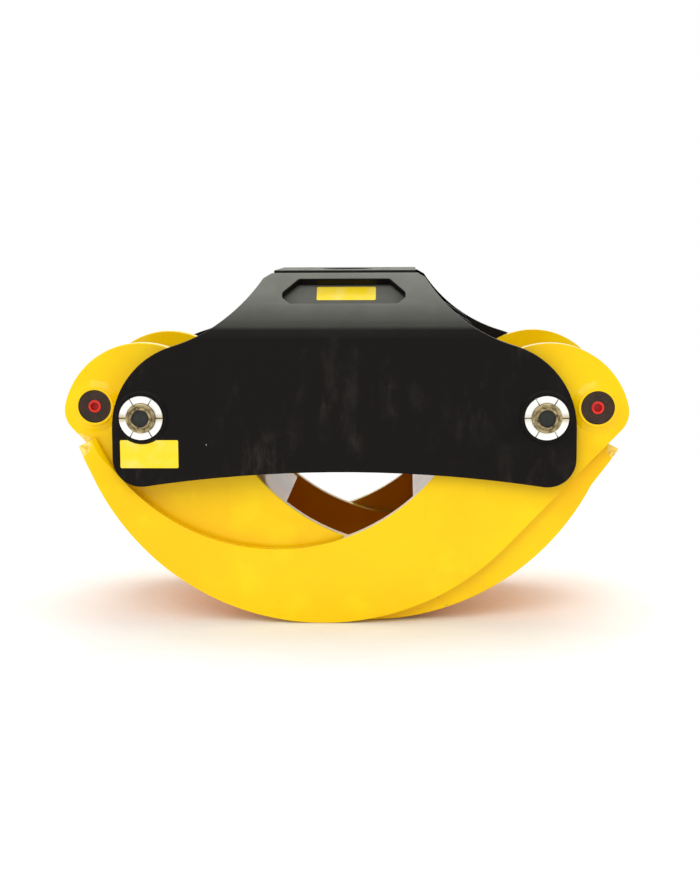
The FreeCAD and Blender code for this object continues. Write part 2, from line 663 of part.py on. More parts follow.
# --- claws --------------------------------------------------------------
def claw_outline(flare):
    """Crescent with a round lobe; drawn about the right pivot, closed."""
    run_start = polar(OUTER_CENTRE, OUTER_RADIUS, BACK_ANGLE - 90)
    turn = math.radians(BACK_ANGLE - 90)
    offset = ((run_start[0] - LOBE_CENTRE[0]) * math.cos(turn)
              + (run_start[1] - LOBE_CENTRE[1]) * math.sin(turn)) - LOBE_CORNER_RADIUS
    along = math.sqrt((LOBE_RADIUS - LOBE_CORNER_RADIUS) ** 2 - offset ** 2)
    corner = polar(polar(LOBE_CENTRE, offset, BACK_ANGLE - 90), along, BACK_ANGLE)
    run_end = polar(corner, LOBE_CORNER_RADIUS, BACK_ANGLE - 90)
    lobe_start = direction(LOBE_CENTRE, corner)
    throat = circles_meet(INNER_CENTRE, LOG_RADIUS, LOBE_CENTRE, LOBE_RADIUS, 1)
    lobe_end = direction(LOBE_CENTRE, throat)
    flared = polar(TIP_OUTER, flare, TIP_ANGLE)
    flare_start = direction(OUTER_CENTRE, TIP_OUTER) % FULL_TURN + FLARE_ANGLE
    edges = [line(TIP_INNER, flared),
             line(flared, polar(OUTER_CENTRE, OUTER_RADIUS, flare_start)),
             arc(OUTER_CENTRE, OUTER_RADIUS, flare_start, 270 + BACK_ANGLE),
             line(run_start, run_end),
             arc(corner, LOBE_CORNER_RADIUS, BACK_ANGLE - 90, lobe_start),
             arc(LOBE_CENTRE, LOBE_RADIUS, lobe_start, lobe_end),
             arc(INNER_CENTRE, LOG_RADIUS, direction(INNER_CENTRE, throat), TIP_ANGLE - FULL_TURN)]
    return Part.Wire(edges), throat


def tip_facet(outer_face):
    """Wedge off the outer face at the tip, deepest at the end."""
    heading = TIP_ANGLE - 90
    start = polar(TIP_INNER, TIP_FACET_LENGTH, heading + 180)
    side = polar(start, -LOG_RADIUS / 4, TIP_ANGLE)
    far = polar(side, 2 * TIP_FACET_LENGTH, heading)
    slope = TIP_FACET_DEPTH / TIP_FACET_LENGTH
    corners = [at(side, outer_face), at(far, outer_face), at(far, outer_face - 2 * TIP_FACET_LENGTH * slope)]
    face = Part.Face(Part.makePolygon(corners + corners[:1]))
    reach = at(polar(ORIGIN, LOG_RADIUS / 2, TIP_ANGLE))
    return face.extrude(reach)


def tip_bevel(outer_face, length, width):
    """Wedge off the log side of the outer face, from nothing to its full width at the tip."""
    start = polar(INNER_CENTRE, LOG_RADIUS, TIP_ANGLE + math.degrees(length / LOG_RADIUS))
    end = polar(INNER_CENTRE, LOG_RADIUS + width, TIP_ANGLE)
    heading = direction(start, end)
    far = polar(start, 2 * width, heading - 90)
    corners = [at(start, outer_face), at(far, outer_face), at(far, outer_face - 2 * BEVEL_DEPTH)]
    face = Part.Face(Part.makePolygon(corners + corners[:1]))
    return face.extrude(at(polar(ORIGIN, distance(start, end) + width, heading)))


def claw_plate(y_in, y_out, flare, bevel):
    outline, throat = claw_outline(flare)
    plate = round_edges(prism(outline, y_in, y_out), THROAT_RADIUS, [throat])
    plate = plate.cut(bar(HUB_RADIUS, y_in, y_out))
    plate = plate.cut(bar(PIN_RADIUS + PRESS_CLEARANCE, y_in, y_out, ARM_PIN))
    return plate.cut(tip_facet(y_out)).cut(bevel)


def lining(y_in, end):
    inner = LOG_RADIUS + LINING_RECESS
    return band(INNER_CENTRE, inner, inner + LINING_PLATE, LINING_TOP_ANGLE, end, -y_in, y_in)


def shell_top_corner(radius):
    """Upper end of the shell's straight run, clear of the cylinder's eye."""
    return polar(polar(OUTER_CENTRE, radius, SHELL_TOP_ANGLE), SHELL_RUN, BACK_ANGLE)


def shell(y_in):
    """Long plate that closes the narrow claw's back: straight below the lobe, then curved to the blade."""
    blade_back = circles_meet(OUTER_CENTRE, SHELL_IN, INNER_CENTRE, LOG_RADIUS + BLADE_PLATE, 1)
    end = direction(OUTER_CENTRE, blade_back) % FULL_TURN - FULL_TURN
    edges = [arc(OUTER_CENTRE, SHELL_IN, SHELL_TOP_ANGLE, end),
             line(polar(OUTER_CENTRE, SHELL_IN, end), polar(OUTER_CENTRE, SHELL_OUT, end)),
             arc(OUTER_CENTRE, SHELL_OUT, end, SHELL_TOP_ANGLE)]
    edges.extend(path([polar(OUTER_CENTRE, SHELL_OUT, SHELL_TOP_ANGLE), shell_top_corner(SHELL_OUT),
                       shell_top_corner(SHELL_IN), polar(OUTER_CENTRE, SHELL_IN, SHELL_TOP_ANGLE)]))
    return across(Part.Wire(edges), y_in)


def blade(y_in):
    """Cross blade between the narrow claw's plates, as long as its tips."""
    piece = band(INNER_CENTRE, LOG_RADIUS, LOG_RADIUS + BLADE_PLATE, BLADE_START, TIP_ANGLE, -y_in, y_in)
    limit = across(Part.Wire([Part.makeCircle(OUTER_RADIUS, at(OUTER_CENTRE), Vector(0, 1, 0))]), y_in)
    return piece.common(limit)


def back_plate(y_in):
    """Curved plate that closes the wide claw's box, just clear of the passing claw."""
    return band(PASSING_CENTRE, BACK_IN, BACK_OUT, BACK_TOP_ANGLE, BACK_END_ANGLE, -y_in, y_in)


def passing_tip_space():
    """Room that the other claw's tip needs when the grapple is closed."""
    reach = math.degrees(WORKING_CLEARANCE / LOG_RADIUS)
    return band(PASSING_CENTRE, LOG_RADIUS - WORKING_CLEARANCE, OUTER_RADIUS + WORKING_CLEARANCE,
                180 - TIP_ANGLE + reach, BACK_END_ANGLE, RIB_INNER_FACE, RIB_OUT)


def rib_plate(lining_end, back, link_pin):
    """Inner rib with the cylinder pin's eye; runs over the pivot, down the lining and up the back."""
    eye_low, eye_top = [polar(ARM_PIN, RIB_EYE, angle) for angle in RIB_EYE_ANGLES]
    lining_top = polar(INNER_CENTRE, LINING_BACK, LINING_TOP_ANGLE)
    lining_low = polar(INNER_CENTRE, LINING_BACK, lining_end)
    edges = path([eye_low, eye_top, (-HUB_RADIUS, BOSS_RADIUS), lining_top])
    edges.append(arc(INNER_CENTRE, LINING_BACK, LINING_TOP_ANGLE, lining_end))
    edges.append(line(lining_low, at_start(back[0])))
    edges.extend(back)
    edges.append(line(at_end(back[-1]), eye_low))
    rib = prism(Part.Wire(edges), RIB_INNER_FACE, RIB_OUT)
    rib = rib.fuse(bar(RIB_EYE, RIB_INNER_FACE, RIB_OUT, ARM_PIN))
    rib = rib.cut(bar(PIN_RADIUS + PRESS_CLEARANCE, RIB_INNER_FACE, RIB_OUT, ARM_PIN))
    rib = rib.cut(passing_tip_space())
    if link_pin is not None:
        rib = rib.cut(bar(LINK_PIN_RADIUS + PRESS_CLEARANCE, RIB_INNER_FACE, RIB_OUT, link_pin))
    return rib.removeSplitter()


def wide_rib(link_pin):
    """Rib of the wide claw; its back lies on the plate that clears the passing claw."""
    back = [arc(PASSING_CENTRE, BACK_IN, BACK_END_ANGLE, BACK_TOP_ANGLE)]
    return rib_plate(WIDE_LINING_END_ANGLE, back, link_pin)


def narrow_rib(link_pin):
    """Rib of the narrow claw; its back lies on the inside of the shell."""
    seat = arc(OUTER_CENTRE, SHELL_IN, SHELL_TOP_ANGLE - RIB_SHELL_SEAT_ANGLE, SHELL_TOP_ANGLE)
    run = line(polar(OUTER_CENTRE, SHELL_IN, SHELL_TOP_ANGLE), shell_top_corner(SHELL_IN))
    return rib_plate(NARROW_LINING_END_ANGLE, [seat, run], link_pin)


def hub():
    bore = PIN_RADIUS + RUN_CLEARANCE + BUSH_WALL + PRESS_CLEARANCE
    return ring(HUB_RADIUS - PRESS_CLEARANCE, bore, HUB_IN, HUB_OUT)


def pivot_bush():
    return ring(PIN_RADIUS + RUN_CLEARANCE + BUSH_WALL, PIN_RADIUS + RUN_CLEARANCE, HUB_IN, HUB_OUT)


def pin_collar(face):
    """Collar round the cylinder pin, welded to the claw's outer face."""
    bore = PIN_RADIUS + PRESS_CLEARANCE
    rim = bore + COLLAR_WALL
    end = face + COLLAR_HEIGHT
    return turned_y([(bore, face), (rim + COLLAR_WELD, face), (rim, face + COLLAR_WELD_RISE),
                     (rim, end - CHAMFER_WIDTH), (rim - CHAMFER_WIDTH, end), (bore, end)], ARM_PIN)


def cylinder_pin(face):
    """Through pin with a grease socket in each end."""
    end = face + CYL_PIN_PROUD
    pin = bar(PIN_RADIUS, -end, end, ARM_PIN)
    for side in (-1, 1):
        low = min(side * end, side * (end - PLUG_LENGTH))
        pin = pin.cut(bar(PLUG_RADIUS + PRESS_CLEARANCE, low, low + PLUG_LENGTH, ARM_PIN))
    return pin


def pin_plug(face):
    """Cup-shaped plastic plug that stands a little proud of the pin's end."""
    end = face + CYL_PIN_PROUD
    floor = end - PLUG_LENGTH
    wall = PLUG_RADIUS - PLUG_BORE
    rim = end + PLUG_PROUD
    return turned_y([(0, floor), (PLUG_RADIUS, floor), (PLUG_RADIUS, rim - CHAMFER_WIDTH),
                     (PLUG_RADIUS - CHAMFER_WIDTH, rim), (PLUG_BORE, rim), (PLUG_BORE, floor + wall),
                     (0, floor + wall)], ARM_PIN)


def build_claw(side, y_out, place, rib, flare, bevel):
    plate = place(claw_plate(y_out - CLAW_PLATE, y_out, flare, bevel))
    keep(side + "_claw_rear_plate", plate)
    keep(side + "_claw_front_plate", front_of(plate))
    link_pin = RIGHT_LINK_PIN if side == "right" else LEFT_LINK_PIN
    keep(side + "_claw_rear_rib", place(rib(link_pin)))
    keep(side + "_claw_front_rib", front_of(place(rib(None))))
    keep(side + "_claw_hubs", both_ends(place(hub())))
    keep(side + "_pivot_bushes", both_ends(place(pivot_bush())))
    keep(side + "_pin_collars", both_ends(place(pin_collar(y_out))))
    keep(side + "_cylinder_pin", place(cylinder_pin(y_out)))
    keep(side + "_pin_plugs", both_ends(place(pin_plug(y_out))))


def build_claws():
    def to_left(shape):
        return left_of(at_pivot(shape))

    wide_bevel = tip_bevel(WIDE_OUT, WIDE_BEVEL_LENGTH, WIDE_BEVEL_WIDTH)
    build_claw("right", WIDE_OUT, at_pivot, wide_rib, WIDE_FLARE_LENGTH, wide_bevel)
    keep("right_claw_lining", at_pivot(lining(WIDE_IN, WIDE_LINING_END_ANGLE)))
    keep("right_claw_back_plate", at_pivot(back_plate(WIDE_IN)))
    narrow_bevel = tip_bevel(NARROW_OUT, NARROW_BEVEL_LENGTH, NARROW_BEVEL_WIDTH)
    build_claw("left", NARROW_OUT, to_left, narrow_rib, NARROW_FLARE_LENGTH, narrow_bevel)
    keep("left_claw_lining", to_left(lining(NARROW_IN, NARROW_LINING_END_ANGLE)))
    keep("left_claw_shell", to_left(shell(NARROW_IN)))
    keep("left_claw_blade", to_left(blade(NARROW_IN)))


# --- cylinder, drawn along X from its base pin, closed grapple ----------
def at_base_pin(shape):
    moved = shape.copy()
    moved.translate(Vector(-PIN_X - ARM_PIN[0], 0, PIN_Z + ARM_PIN[1]))
    return moved


def eye(x):
    return ring(EYE_RADIUS, BUSH_RADIUS + PRESS_CLEARANCE, -EYE_HALF_WIDTH, EYE_HALF_WIDTH, (x, 0))


def base_eye():
    """Cylinder base: a cap with a spigot in the tube and the eye in front of it."""
    shoulder = BARREL_START - BASE_CAP
    seat = BARREL_START - BASE_CAP / 2
    cap = turned_x([(0, 0), (0, BASE_NECK_RADIUS), (shoulder, BASE_NECK_RADIUS), (shoulder, BARREL_RADIUS),
                    (seat, BARREL_RADIUS), (seat, BORE_RADIUS - PRESS_CLEARANCE),
                    (BARREL_START, BORE_RADIUS - PRESS_CLEARANCE), (BARREL_START, 0)])
    whole = cap.fuse(bar(EYE_RADIUS, -EYE_HALF_WIDTH, EYE_HALF_WIDTH))
    return whole.cut(bar(BUSH_RADIUS + PRESS_CLEARANCE, -2 * EYE_RADIUS, 2 * EYE_RADIUS)).removeSplitter()


def barrel():
    seat = BARREL_START - BASE_CAP / 2
    tube = turned_x([(seat, BORE_RADIUS), (seat, BARREL_RADIUS), (BARREL_END, BARREL_RADIUS),
                     (BARREL_END, BORE_RADIUS)])
    for x in PORT_X:
        seat_floor = BARREL_RADIUS - PORT_SEAT_DEPTH
        tube = tube.cut(upright(PORT_SEAT_RADIUS, x, 0, seat_floor, BARREL_RADIUS))
        tube = tube.cut(upright(PORT_HOLE_RADIUS / 2, x, 0, 0, seat_floor))
    return tube


def port_boss(x):
    """Boss for a hose fitting, saddled on the barrel."""
    top = BARREL_RADIUS + PORT_HEIGHT
    start = x - PORT_RADIUS
    saddle = Part.makeCylinder(BARREL_RADIUS, 2 * PORT_RADIUS, Vector(start, 0, 0), Vector(1, 0, 0))
    return upright(PORT_RADIUS, x, 0, 0, top).cut(saddle).cut(upright(PORT_HOLE_RADIUS, x, 0, 0, top))


def gland():
    """Screwed-in rod guide with a flange over the barrel's end and a groove for the wiper."""
    bore = ROD_RADIUS + RUN_CLEARANCE
    groove = GLAND_END - WIPER_WIDTH
    bevel = 2 * CHAMFER_WIDTH
    return turned_x([(GLAND_START, bore), (GLAND_START, BORE_RADIUS - PRESS_CLEARANCE),
                     (BARREL_END, BORE_RADIUS - PRESS_CLEARANCE), (BARREL_END, BARREL_RADIUS),
                     (GLAND_END - bevel, BARREL_RADIUS), (GLAND_END, BARREL_RADIUS - bevel),
                     (GLAND_END, bore + WIPER_DEPTH), (groove, bore + WIPER_DEPTH), (groove, bore)])


def wiper():
    bore = ROD_RADIUS + RUN_CLEARANCE
    rim = bore + WIPER_DEPTH - PRESS_CLEARANCE
    return turned_x([(GLAND_END - WIPER_WIDTH, bore), (GLAND_END - WIPER_WIDTH, rim), (GLAND_END, rim),
                     (GLAND_END + WIPER_LIP, bore + WIPER_LIP), (GLAND_END + WIPER_LIP, bore)])


def piston():
    outer = BORE_RADIUS - PISTON_CLEARANCE
    bore = ROD_SPIGOT_RADIUS + PRESS_CLEARANCE
    groove = outer - SEAL_DEPTH
    back = PISTON_MIDDLE - SEAL_WIDTH / 2
    front = PISTON_MIDDLE + SEAL_WIDTH / 2
    return turned_x([(PISTON_BACK, bore), (PISTON_BACK, outer), (back, outer), (back, groove),
                     (front, groove), (front, outer), (PISTON_FRONT, outer), (PISTON_FRONT, bore)])


def piston_seal():
    outer = BORE_RADIUS - RUN_CLEARANCE
    inner = BORE_RADIUS - PISTON_CLEARANCE - SEAL_DEPTH + PRESS_CLEARANCE
    back = PISTON_MIDDLE - SEAL_WIDTH / 2 + PRESS_CLEARANCE
    front = PISTON_MIDDLE + SEAL_WIDTH / 2 - PRESS_CLEARANCE
    return turned_x([(back, inner), (back, outer), (front, outer), (front, inner)])


def piston_nut():
    start = PISTON_BACK - ROD_NUT_HEIGHT
    bore = ROD_SPIGOT_RADIUS + PRESS_CLEARANCE
    return turned_x([(start, bore), (start, ROD_NUT_RADIUS), (PISTON_BACK, ROD_NUT_RADIUS),
                     (PISTON_BACK, bore)])


def piston_rod():
    """Rod with a spigot for the piston, saddled on the rod eye."""
    start = PISTON_BACK - ROD_NUT_HEIGHT
    rod = turned_x([(start, 0), (start, ROD_SPIGOT_RADIUS), (PISTON_FRONT, ROD_SPIGOT_RADIUS),
                    (PISTON_FRONT, ROD_RADIUS), (PIN_TO_PIN_CLOSED, ROD_RADIUS), (PIN_TO_PIN_CLOSED, 0)])
    eye_space = bar(EYE_RADIUS + PRESS_CLEARANCE, -EYE_HALF_WIDTH, EYE_HALF_WIDTH, (PIN_TO_PIN_CLOSED, 0))
    return rod.cut(eye_space)


def eye_bush(x):
    return ring(BUSH_RADIUS, PIN_RADIUS + RUN_CLEARANCE, -EYE_HALF_WIDTH, EYE_HALF_WIDTH, (x, 0))


def build_cylinder():
    keep("cylinder_barrel", at_base_pin(barrel()))
    keep("cylinder_base_eye", at_base_pin(base_eye()))
    keep("base_eye_bush", at_base_pin(eye_bush(0)))
    keep("port_bosses", at_base_pin(Part.makeCompound([port_boss(x) for x in PORT_X])))
    keep("cylinder_gland", at_base_pin(gland()))
    keep("rod_wiper", at_base_pin(wiper()))
    keep("piston", at_base_pin(piston()))
    keep("piston_seal", at_base_pin(piston_seal()))
    keep("piston_nut", at_base_pin(piston_nut()))
    keep("piston_rod", at_base_pin(piston_rod()))
    keep("rod_eye", at_base_pin(eye(PIN_TO_PIN_CLOSED)))
    keep("rod_eye_bush", at_base_pin(eye_bush(PIN_TO_PIN_CLOSED)))


# --- synchronising link -------------------------------------------------
def link_ends():
    left = (-PIN_X - LEFT_LINK_PIN[0], LEFT_LINK_PIN[1])
    right = (PIN_X + RIGHT_LINK_PIN[0], RIGHT_LINK_PIN[1])
    return left, right


def sync_link():
    left, right = link_ends()
    heading = direction(left, right)
    corners = [polar(point, LINK_HALF_HEIGHT, heading + side) for point, side in
               ((left, 90), (right, 90), (right, -90), (left, -90))]
    link = prism(polygon(corners), LINK_Y, LINK_Y + LINK_PLATE)
    for point in (left, right):
        link = link.fuse(bar(LINK_EYE_RADIUS, LINK_Y, LINK_Y + LINK_PLATE, point))
    for point, clearance in ((left, RUN_CLEARANCE), (right, LINK_FREE_CLEARANCE)):
        link = link.cut(bar(LINK_PIN_RADIUS + clearance, LINK_Y, LINK_Y + LINK_PLATE, point))
    return link.removeSplitter()


def link_pin(point):
    """Pin in the rear rib, with a collar that holds the link off the rib."""
    collar = bar(LINK_PIN_COLLAR, RIB_OUT, LINK_Y - LINK_SIDE_PLAY, point)
    return bar(LINK_PIN_RADIUS, RIB_INNER_FACE, LINK_Y + LINK_PLATE, point).fuse(collar)


def build_link():
    left, right = link_ends()
    keep("sync_link", from_pivot_line(sync_link()))
    keep("link_pin_left", from_pivot_line(link_pin(left)))
    keep("link_pin_right", from_pivot_line(link_pin(right)))


def write_parts():
    os.makedirs("parts", exist_ok=True)
    for name, shape in PARTS.items():
        shape.exportStep("parts/" + name + ".step")
        print(name, len(shape.Solids), round(shape.Volume / 1000, 1))


build_frame()
build_pivots()
build_claws()
build_cylinder()
build_link()
write_parts()
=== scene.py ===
import json
import math

import bmesh
import bpy
from mathutils import Matrix, Vector


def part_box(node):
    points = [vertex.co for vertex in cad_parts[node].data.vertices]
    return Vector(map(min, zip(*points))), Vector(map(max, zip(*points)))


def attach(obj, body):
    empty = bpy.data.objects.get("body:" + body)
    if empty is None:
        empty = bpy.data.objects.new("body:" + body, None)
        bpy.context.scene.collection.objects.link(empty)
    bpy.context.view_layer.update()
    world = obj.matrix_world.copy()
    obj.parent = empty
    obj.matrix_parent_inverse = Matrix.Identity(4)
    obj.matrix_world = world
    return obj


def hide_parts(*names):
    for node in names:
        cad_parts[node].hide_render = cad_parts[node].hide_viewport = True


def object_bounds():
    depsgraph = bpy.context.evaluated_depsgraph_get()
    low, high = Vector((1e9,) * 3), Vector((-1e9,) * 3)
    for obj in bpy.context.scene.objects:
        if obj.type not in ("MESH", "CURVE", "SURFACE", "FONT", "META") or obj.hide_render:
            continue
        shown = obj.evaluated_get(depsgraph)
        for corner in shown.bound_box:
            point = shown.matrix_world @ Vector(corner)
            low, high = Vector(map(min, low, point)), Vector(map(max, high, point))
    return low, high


# %% [markdown]
# A log grapple hangs under a crane. Two curved claws turn on four stub pins in a bent frame, and one
# cylinder pushes their upper corners apart to close them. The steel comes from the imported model, so this
# script dresses it: the plates' edges are eased, and every surface gets a painted or machined finish.

# %% Frame and its sizes
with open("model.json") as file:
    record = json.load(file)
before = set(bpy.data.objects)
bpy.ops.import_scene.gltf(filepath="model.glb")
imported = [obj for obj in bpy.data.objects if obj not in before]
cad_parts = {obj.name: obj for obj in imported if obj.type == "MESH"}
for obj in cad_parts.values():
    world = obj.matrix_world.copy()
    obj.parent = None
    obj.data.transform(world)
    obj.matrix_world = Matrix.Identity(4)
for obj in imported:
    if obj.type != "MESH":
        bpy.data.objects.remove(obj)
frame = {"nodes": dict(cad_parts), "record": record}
cad_box = [list(corner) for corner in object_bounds()]
print("solid box, metres:", [[round(v, 4) for v in corner] for corner in cad_box])


def middle(node):
    low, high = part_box(node)
    return (low + high) / 2


MM = 0.001
PIVOT_X = 300 * MM
PIVOT_Z = middle("pivot_pin_right_front").z
FRONT_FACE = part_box("frame_front_plate")[0].y
FLOOR_Z = cad_box[0][2]
CLAW_PINS = {side: middle(side + "_cylinder_pin") for side in ("left", "right")}
print("pivot height", round(PIVOT_Z, 4), "floor", round(FLOOR_Z, 4))

# %% [markdown]
# A shader tree is a graph of small sums. Drawn by hand it is hard to read, so one class wraps a socket
# and overloads the operators: an expression such as `1 - mask * 0.4` adds its own Math nodes. Colours go
# through Mix nodes, because a Math node would turn them grey.


# %% Shader sums and the finish class
class Signal:
    """A socket that carries a number; arithmetic on it adds Math nodes."""

    def __init__(self, finish, socket):
        self.finish = finish
        self.socket = socket

    def sum(self, operation, first, second=0.0):
        return self.finish.add("ShaderNodeMath", {"operation": operation}, {0: first, 1: second})[0]

    def __add__(self, other):
        return self.sum("ADD", self, other)

    def __sub__(self, other):
        return self.sum("SUBTRACT", self, other)

    def __rsub__(self, other):
        return self.sum("SUBTRACT", other, self)

    def __mul__(self, other):
        return self.sum("MULTIPLY", self, other)

    def __truediv__(self, other):
        return self.sum("DIVIDE", self, other)

    def __pow__(self, other):
        return self.sum("POWER", self, other)

    def largest(self, other):
        return self.sum("MAXIMUM", self, other)

    def size(self):
        return self.sum("ABSOLUTE", self)

    def sine(self):
        return self.sum("SINE", self)

    __radd__ = __add__
    __rmul__ = __mul__


class Finish:
    """A material with one Principled shader; constants are set on the shader's own sockets."""

    def __init__(self, name, **constants):
        self.material = bpy.data.materials.new(name)
        self.material.use_nodes = True
        self.tree = self.material.node_tree
        self.shader = self.tree.nodes["Principled BSDF"]
        for socket, value in constants.items():
            self.shader.inputs[socket.replace("_", " ")].default_value = value
        self.place = self.add("ShaderNodeTexCoord")["Object"]

    def add(self, kind, settings=None, inputs=None):
        """Adds a node of this kind, sets it up, fills its sockets and returns its outputs."""
        node = self.tree.nodes.new(kind)
        for name, value in (settings or {}).items():
            if name == "stops":
                self.set_stops(node, value)
            else:
                setattr(node, name, value)
        for key, value in (inputs or {}).items():
            self.fill(node.inputs[key], value)
        outputs = {socket.name: Signal(self, socket) for socket in reversed(node.outputs)}
        outputs.update({number: Signal(self, socket) for number, socket in enumerate(node.outputs)})
        return outputs

    def set_stops(self, node, stops):
        ramp = node.color_ramp
        while len(ramp.elements) < len(stops):
            ramp.elements.new(1.0)
        for element, (position, colour) in zip(ramp.elements, stops):
            element.position = position
            element.color = (*colour, 1.0)

    def fill(self, socket, value):
        if isinstance(value, Signal):
            self.tree.links.new(value.socket, socket)
        elif socket.type == "RGBA" and len(value) == 3:
            socket.default_value = (*value, 1.0)
        else:
            socket.default_value = value

    def feed(self, name, value):
        self.fill(self.shader.inputs[name], value)

    def stretched(self, scale, turn=(0, 0, 0)):
        """The place on the object, scaled so that a pattern runs along one direction."""
        settings = {"Vector": self.place, "Scale": scale, "Rotation": turn}
        return self.add("ShaderNodeMapping", None, settings)["Vector"]

    def noise(self, scale, detail=4.0, roughness=0.5, place=None):
        inputs = {"Vector": place or self.place, "Scale": scale, "Detail": detail, "Roughness": roughness}
        return self.add("ShaderNodeTexNoise", None, inputs)["Fac"]

    def cells(self, scale, place=None):
        inputs = {"Vector": place or self.place, "Scale": scale}
        return self.add("ShaderNodeTexVoronoi", None, inputs)["Distance"]

    def ease(self, value, low, high, start=0.0, end=1.0):
        """Runs smoothly from start to end as value goes from low to high."""
        inputs = {"Value": value, "From Min": low, "From Max": high, "To Min": start, "To Max": end}
        return self.add("ShaderNodeMapRange", {"interpolation_type": "SMOOTHSTEP"}, inputs)["Result"]

    def mix(self, share, first, second):
        inputs = {0: share, 6: first, 7: second}
        return self.add("ShaderNodeMix", {"data_type": "RGBA"}, inputs)[2]

    def axes(self):
        split = self.add("ShaderNodeSeparateXYZ", None, {0: self.place})
        return split[0], split[1], split[2]

    def upward(self):
        """How far the surface faces up, from -1 to 1, at rest."""
        normal = self.add("ShaderNodeTexCoord")["Normal"]
        return self.add("ShaderNodeSeparateXYZ", None, {0: normal})[2]

    def bump(self, height, distance, strength=1.0):
        inputs = {"Height": height, "Distance": distance, "Strength": strength}
        self.feed("Normal", self.add("ShaderNodeBump", None, inputs)["Normal"])


FINISHES = {}


def keep(slot, finish):
    FINISHES[slot] = finish.material
    print("finish:", finish.material.name, len(finish.tree.nodes), "nodes")


# %% [markdown]
# The end of each claw drags over bark and ground, so its yellow has gone pale and patchy. The place of that
# end is read from the claw's own mesh, as the point farthest from its cylinder pin, and a mask falls off
# with the distance from it. A little noise makes the border ragged. The mask knows places and not pieces, so
# it also reaches the other claw's shoulder where the two lie close together at rest.

# %% Worn claw ends
GROUND_PALE = (0.95, 0.72, 0.16)
GROUND_WORN = (0.78, 0.47, 0.05)
GROUND_LENGTH = 20 * MM
GROUND_BORDER = 2 * MM
GROUND_RAGGED = 7 * MM


def claw_tip(side):
    """The end of a claw: the point of its front plate that lies farthest from its cylinder pin."""
    pin = CLAW_PINS[side]
    points = [vertex.co for vertex in frame["nodes"][side + "_claw_front_plate"].data.vertices]
    return max(points, key=lambda point: math.hypot(point.x - pin.x, point.z - pin.z)).copy()


TIPS = {side: claw_tip(side) for side in ("left", "right")}
print("claw tips:", {side: [round(v, 3) for v in tip] for side, tip in TIPS.items()})


def near_tip(paint, side):
    """1 at the end of a claw, easing to 0 a little farther up."""
    x, _, z = paint.axes()
    across = x - TIPS[side].x
    down = z - TIPS[side].z
    distance = (across * across + down * down) ** 0.5 + paint.noise(160.0, 3.0) * GROUND_RAGGED
    return paint.ease(distance, GROUND_LENGTH + GROUND_BORDER, GROUND_LENGTH)


# %% [markdown]
# Between the plates the yellow looks orange-brown, because the little light that gets in has bounced from
# one yellow face to another. A few bounces in a render come out too green, so this finish paints a warmer
# colour on the faces that look towards the middle plane. That is a stand-in for the bounced light: it is
# simple and cheap, but it stays orange when the claws open. It starts below the pins and fades in downwards.

# %% Warm inner faces
WARM_SHADE = (0.95, 0.34, 0.0)
INNER_SHARE = 0.85
INNER_FADE = 60 * MM
INNER_LOOK = -0.02
INNER_LOOK_FULL = -0.06


def inner_face(paint):
    """INNER_SHARE on faces below the pins that look towards the middle plane, and 0 on all others."""
    normal = paint.add("ShaderNodeTexCoord")["Normal"]
    looks = paint.add("ShaderNodeSeparateXYZ", None, {0: normal})[1]
    _, away, height = paint.axes()
    below_pins = paint.ease(height, PIVOT_Z, PIVOT_Z - INNER_FADE)
    return paint.ease(looks * away, INNER_LOOK, INNER_LOOK_FULL, 0.0, INNER_SHARE) * below_pins


# %% [markdown]
# The claws are sprayed with glossy yellow enamel. Real enamel is never one colour: it pools a little
# darker in places, runs in faint upright streaks, has a fine orange-peel surface and a few dark chips.
# Noise at several scales gives the pools, the streaks and the peel, and a cell pattern gives the chips. A
# clear coat on top brings the sharp gloss along the edges. A second, deeper orange copy of the same enamel
# goes on the long shell, the linings and the short back plate, on all of their faces. It is painted shade:
# the yellow as it looks in the shade between the plates.

# %% Yellow enamel
YELLOW = (0.96, 0.645, 0.0)
YELLOW_DEEP = (0.93, 0.56, 0.0)
YELLOW_PALE = (0.97, 0.70, 0.004)
STREAK = (0.62, 0.34, 0.02)
CHIP = (0.09, 0.045, 0.02)
# The next two colours are painted shade: the yellow as it looks in the shade between the plates.
SHADED_YELLOW = (0.95, 0.40, 0.0)
SHADED_YELLOW_DEEP = (0.90, 0.33, 0.0)


def yellow_enamel(name, deep=YELLOW_DEEP, main=YELLOW):
    paint = Finish(name, IOR=1.15, Coat_Weight=0.8, Coat_Roughness=0.05, Coat_IOR=1.28)
    clouds = paint.noise(5.0, 5.0)
    colour = paint.mix(paint.ease(clouds, 0.35, 0.7), deep, main)
    colour = paint.mix(paint.ease(paint.noise(17.0, 3.0), 0.52, 0.74, 0.0, 0.45), colour, YELLOW_PALE)
    streaks = paint.noise(60.0, 5.0, 0.6, paint.stretched((1, 1, 0.12)))
    colour = paint.mix(paint.ease(streaks, 0.6, 0.85, 0.0, 0.22), colour, STREAK)
    chips = paint.ease(paint.cells(85.0), 0.10, 0.06) * paint.ease(paint.noise(9.0, 2.0), 0.6, 0.68)
    colour = paint.mix(chips, colour, CHIP)
    colour = paint.mix(inner_face(paint), colour, WARM_SHADE)
    bare = near_tip(paint, "left").largest(near_tip(paint, "right"))
    ground = paint.mix(paint.ease(paint.noise(120.0, 3.0), 0.48, 0.66), GROUND_PALE, GROUND_WORN)
    colour = paint.mix(bare, colour, ground)
    paint.feed("Base Color", colour)
    paint.feed("Roughness", 0.24 + 0.16 * streaks + 0.3 * chips)
    peel = paint.noise(420.0, 2.0)
    paint.bump(peel * 0.25 + paint.noise(28.0, 2.0) * 0.9 - chips * 0.6, 0.0009, 0.35)
    return paint


keep("claw_paint", yellow_enamel("yellow_enamel"))
# A painted-shade copy of the enamel, in deeper orange, for the parts that sit in shade between the plates.
SHADED_ENAMEL = yellow_enamel("painted_shade_enamel", SHADED_YELLOW_DEEP, SHADED_YELLOW)
print("finish:", SHADED_ENAMEL.material.name)
